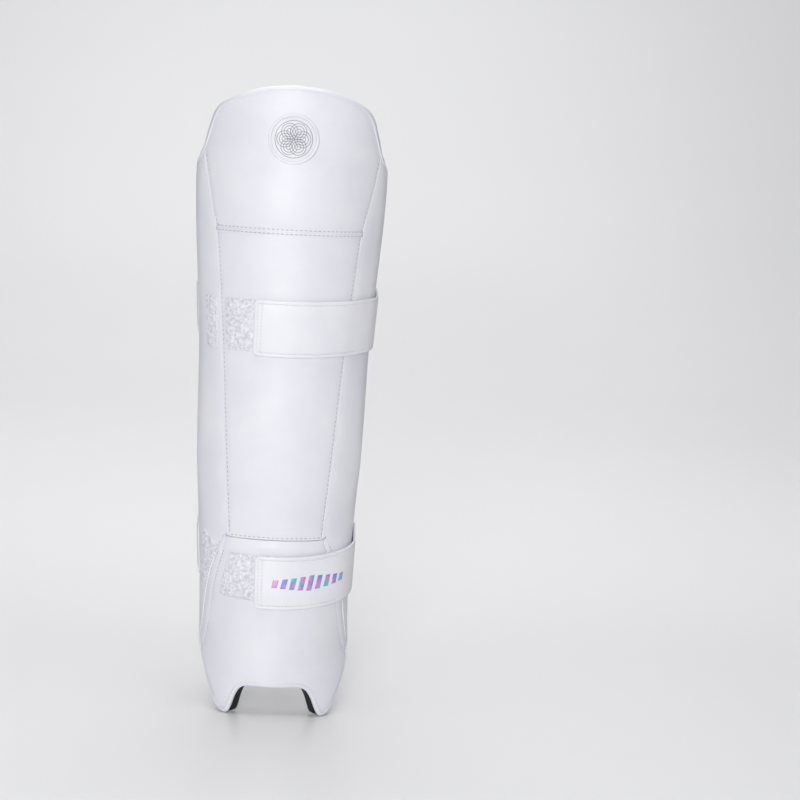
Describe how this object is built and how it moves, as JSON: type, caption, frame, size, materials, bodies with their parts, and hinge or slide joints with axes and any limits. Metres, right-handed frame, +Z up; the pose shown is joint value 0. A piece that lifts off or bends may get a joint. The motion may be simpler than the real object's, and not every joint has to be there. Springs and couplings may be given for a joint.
{
  "type": "cricket leg pad",
  "caption": "Moulded cricket leg pad with knee, shin and instep panels, side wings, foot arch, padded inside and wrap-round hook-and-loop straps.",
  "frame": {"origin": "centre of the bounding box on the level of the two ear tips", "axes": "+Z up the shin, -Y forwards out of the shin face, +X towards the wing that the straps wrap round"},
  "size_m": [0.185, 0.1636, 0.61],
  "materials": {
    "white_cover": "smooth matt polyurethane leather, cool white",
    "strap_face": "smooth polyurethane leather strap facing, cool white",
    "white_elastic": "ribbed woven elastic, white",
    "loop_tape": "fuzzy brushed loop tape, white",
    "hook_tape": "moulded nylon hooks, white",
    "foam": "closed-cell impact foam, pale grey",
    "core_plastic": "moulded polyethylene, natural",
    "black_lining": "brushed knitted lining, near black",
    "badge_rubber": "soft moulded rubber, white satin"
  },
  "bodies": {
    "pad": {"edge_binding": "white_cover", "core_shell": "core_plastic", "inner_lining": "black_lining", "knee_cover": "white_cover", "shin_cover": "white_cover", "instep_cover": "white_cover", "left_wing_cover": "white_cover", "right_wing_cover": "white_cover", "left_gusset": "white_cover", "right_gusset": "white_cover", "knee_foam": "foam", "shin_foam": "foam", "instep_foam": "foam", "left_wing_foam": "foam", "right_wing_foam": "foam", "knee_bolster": "black_lining", "left_shin_bolster": "black_lining", "right_shin_bolster": "black_lining", "left_foot_pad": "black_lining", "right_foot_pad": "black_lining", "left_seam_piping": "white_cover", "right_seam_piping": "white_cover", "knee_seam_welt": "white_cover", "badge_disc": "badge_rubber", "badge_ring": "badge_rubber", "upper_strap_anchor": "strap_face", "upper_front_loop": "loop_tape", "upper_wing_loop": "loop_tape", "lower_strap_anchor": "strap_face", "lower_front_loop": "loop_tape", "lower_wing_loop": "loop_tape"},
    "upper_back": {"upper_strap_back": "white_elastic"},
    "upper_side": {"upper_strap_side": "strap_face"},
    "upper_tab": {"upper_strap_tab": "strap_face", "upper_hook_tape": "hook_tape"},
    "lower_back": {"lower_strap_back": "white_elastic"},
    "lower_side": {"lower_strap_side": "strap_face"},
    "lower_tab": {"lower_strap_tab": "strap_face", "lower_hook_tape": "hook_tape"}
  },
  "joints": [
    {"name": "upper_back_fold", "type": "hinge", "parent": "pad", "child": "upper_back", "pos_m": [-0.0902, 0.04683, 0.3905], "axis": [0, 0, 1], "range_deg": [0, 25]},
    {"name": "upper_side_fold", "type": "hinge", "parent": "upper_back", "child": "upper_side", "pos_m": [0.0902, 0.04683, 0.3905], "axis": [0, 0, 1], "range_deg": [0, 75]},
    {"name": "upper_tab_fold", "type": "hinge", "parent": "upper_side", "child": "upper_tab", "pos_m": [0.0776, -0.04277, 0.3825], "axis": [0, 0, 1], "range_deg": [0, 150]},
    {"name": "lower_back_fold", "type": "hinge", "parent": "pad", "child": "lower_back", "pos_m": [-0.0804, 0.03583, 0.1555], "axis": [0, 0, 1], "range_deg": [0, 25]},
    {"name": "lower_side_fold", "type": "hinge", "parent": "lower_back", "child": "lower_side", "pos_m": [0.0804, 0.03583, 0.1555], "axis": [0, 0, 1], "range_deg": [0, 75]},
    {"name": "lower_tab_fold", "type": "hinge", "parent": "lower_side", "child": "lower_tab", "pos_m": [0.0702, -0.04177, 0.1395], "axis": [0, 0, 1], "range_deg": [0, 150]}
  ],
  "couplings": [
    {"joint": "upper_back_fold", "follows": "upper_tab_fold", "ratio": 0.16667},
    {"joint": "upper_side_fold", "follows": "upper_tab_fold", "ratio": 0.5},
    {"joint": "lower_back_fold", "follows": "lower_tab_fold", "ratio": 0.16667},
    {"joint": "lower_side_fold", "follows": "lower_tab_fold", "ratio": 0.5}
  ]
}
